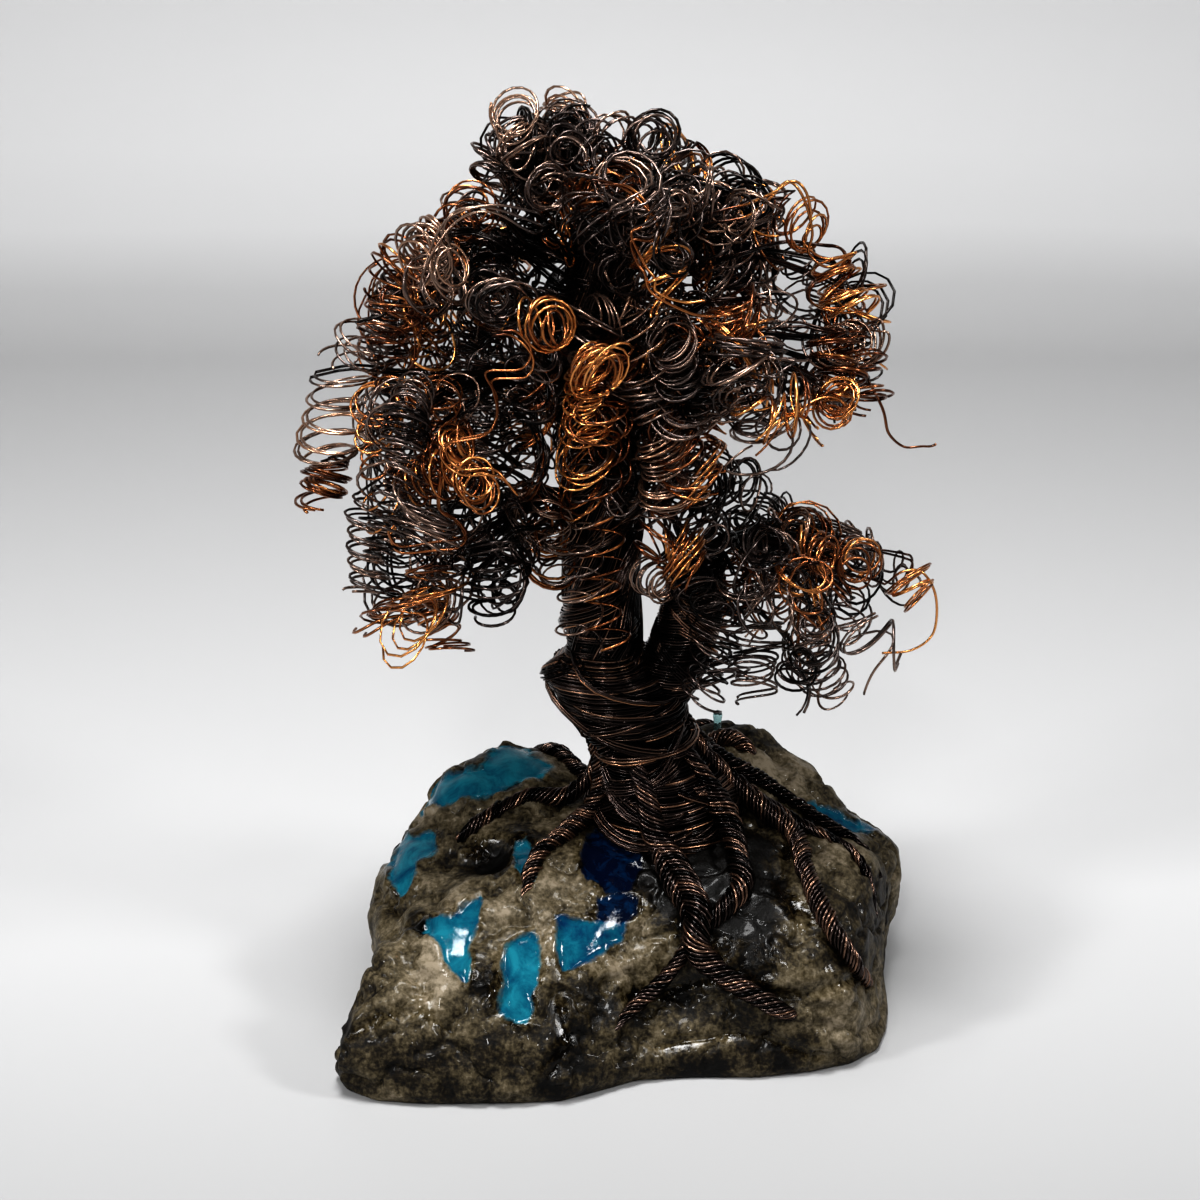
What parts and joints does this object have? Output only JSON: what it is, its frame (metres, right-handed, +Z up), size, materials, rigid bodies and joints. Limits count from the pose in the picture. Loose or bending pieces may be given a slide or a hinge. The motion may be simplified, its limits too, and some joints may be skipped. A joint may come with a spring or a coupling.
{
  "type": "wire tree sculpture",
  "caption": "Weeping tree twisted from dark and copper wire, with coiled foliage and cable roots that grip a sculpted rock base.",
  "frame": {"origin": "middle of the rock's flat underside", "axes": "+Z up along the trunk, -Y towards the viewer, +X to the viewer's right"},
  "size_m": [0.1964, 0.1544, 0.3012],
  "materials": {
    "stone": "mottled grey-brown stone under clear glossy resin, with painted blue pools",
    "dark_wire": "near-black enamelled wire, semi-gloss",
    "copper_wire": "enamelled copper wire, semi-gloss",
    "clear": "clear, slightly teal"
  },
  "bodies": {
    "root": {"rock_base": "stone", "trunk_and_roots": "dark_wire", "crown_left_branch": "dark_wire", "crown_right_branch": "dark_wire", "upper_left_branch": "dark_wire", "left_branch": "dark_wire", "lower_left_branch": "dark_wire", "front_branch": "dark_wire", "front_right_branch": "dark_wire", "upper_right_branch": "dark_wire", "right_branch": "dark_wire", "back_right_branch": "dark_wire", "back_left_branch": "dark_wire", "lower_right_branch": "copper_wire", "clear_peg": "clear"}
  },
  "joints": []
}
